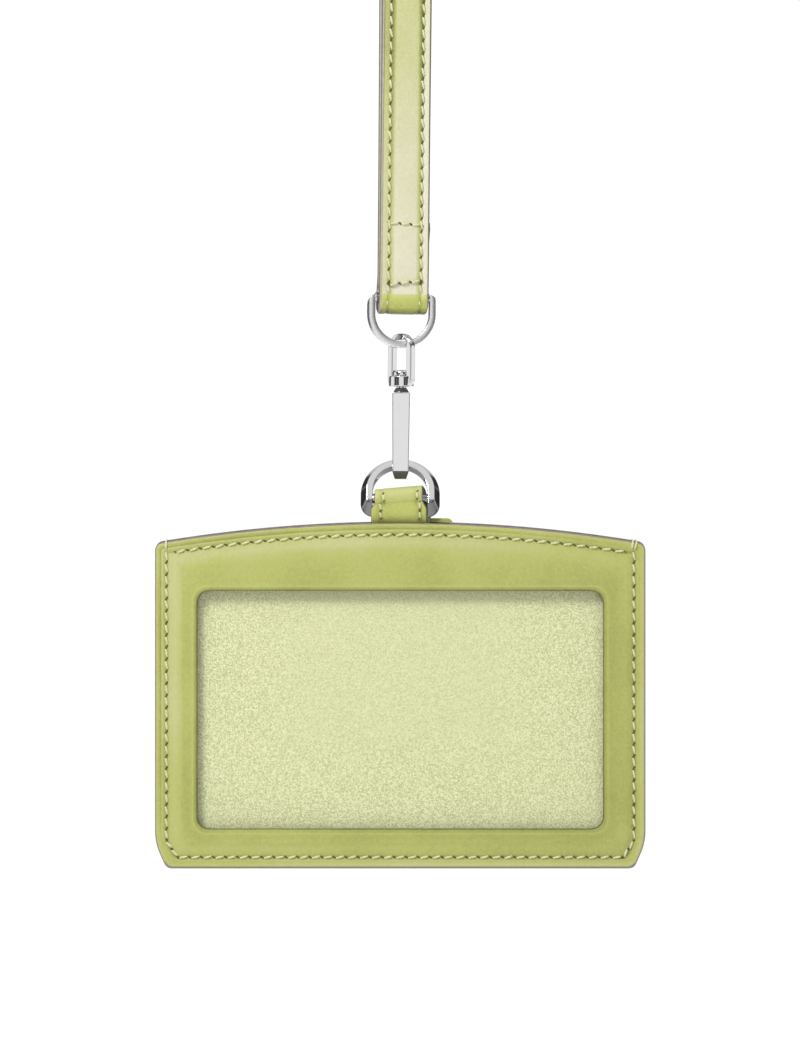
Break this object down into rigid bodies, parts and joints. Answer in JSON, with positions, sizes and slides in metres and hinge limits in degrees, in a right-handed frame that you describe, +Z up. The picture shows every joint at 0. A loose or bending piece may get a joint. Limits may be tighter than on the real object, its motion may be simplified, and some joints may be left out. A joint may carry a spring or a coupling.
{
  "type": "lanyard badge holder",
  "caption": "Leather badge holder with a clear window, hung by D-rings and a swivel snap hook from a flat leather neck lanyard.",
  "frame": {"origin": "inside top of the lanyard's neck loop, where it rests on the neck or a peg", "axes": "+X to the right, +Y from the window side to the back, +Z up; the holder hangs below the origin"},
  "size_m": [0.0982, 0.0398, 0.5115],
  "materials": {
    "strap_leather": "smooth semi-gloss",
    "panel_leather": "smooth semi-gloss",
    "lining": "fine matte grain",
    "thread": "satin",
    "polished_metal": "polished",
    "spring_steel": "bare",
    "clear_film": "clear",
    "fibre_board": "matte"
  },
  "bodies": {
    "strap": {"front_strap": "strap_leather", "back_strap": "strap_leather", "strap_box_thread": "thread", "nape_thread": "thread"},
    "upper_ring": {"upper_d_ring": "polished_metal"},
    "eye": {"swivel_eye": "polished_metal"},
    "hook": {"hook_body": "polished_metal", "swivel_post": "polished_metal", "gate_pivot_pin": "polished_metal", "gate_spring": "spring_steel"},
    "gate": {"gate": "polished_metal"},
    "lower_ring": {"lower_d_ring": "polished_metal"},
    "holder": {"front_panel": "panel_leather", "front_lining": "lining", "window_film": "clear_film", "edge_filler": "panel_leather", "backing_panel": "lining", "stiffener": "fibre_board", "back_panel": "panel_leather", "tab_loop": "panel_leather", "tab_anchor": "panel_leather", "perimeter_thread": "thread", "top_edge_thread": "thread", "tab_thread": "thread"}
  },
  "joints": [
    {"name": "upper_ring_swing", "type": "hinge", "parent": "strap", "child": "upper_ring", "pos_m": [-0.00345, 0, -0.39498], "axis": [0.9848, 0.1736, -0.0086], "range_deg": [-60, 60]},
    {"name": "eye_slide_round_ring", "type": "hinge", "parent": "upper_ring", "child": "eye", "pos_m": [-0.00347, 0, -0.39819], "axis": [-0.1736, 0.9848, 0.0015], "range_deg": [-40, 40]},
    {"name": "swivel", "type": "hinge", "parent": "eye", "child": "hook", "pos_m": [-0.00359, 0, -0.41098], "axis": [0.0087, 0, 1], "continuous": true},
    {"name": "gate_hinge", "type": "hinge", "parent": "hook", "child": "gate", "pos_m": [-0.00363, 0.00595, -0.41608], "axis": [-1, 0, 0.0087], "range_deg": [0, 26], "stiffness_Nm_per_rad": 0.01, "springref_deg": -28.65, "deforming": ["gate_spring"]},
    {"name": "lower_ring_slide", "type": "hinge", "parent": "hook", "child": "lower_ring", "pos_m": [-0.00379, -0.00009, -0.43415], "axis": [-0.0035, 0.9135, -0.4067], "range_deg": [-30, 30]},
    {"name": "holder_swing", "type": "hinge", "parent": "lower_ring", "child": "holder", "pos_m": [-0.0038, -0.00062, -0.43533], "axis": [1, 0, 0], "range_deg": [-90, 75]}
  ]
}
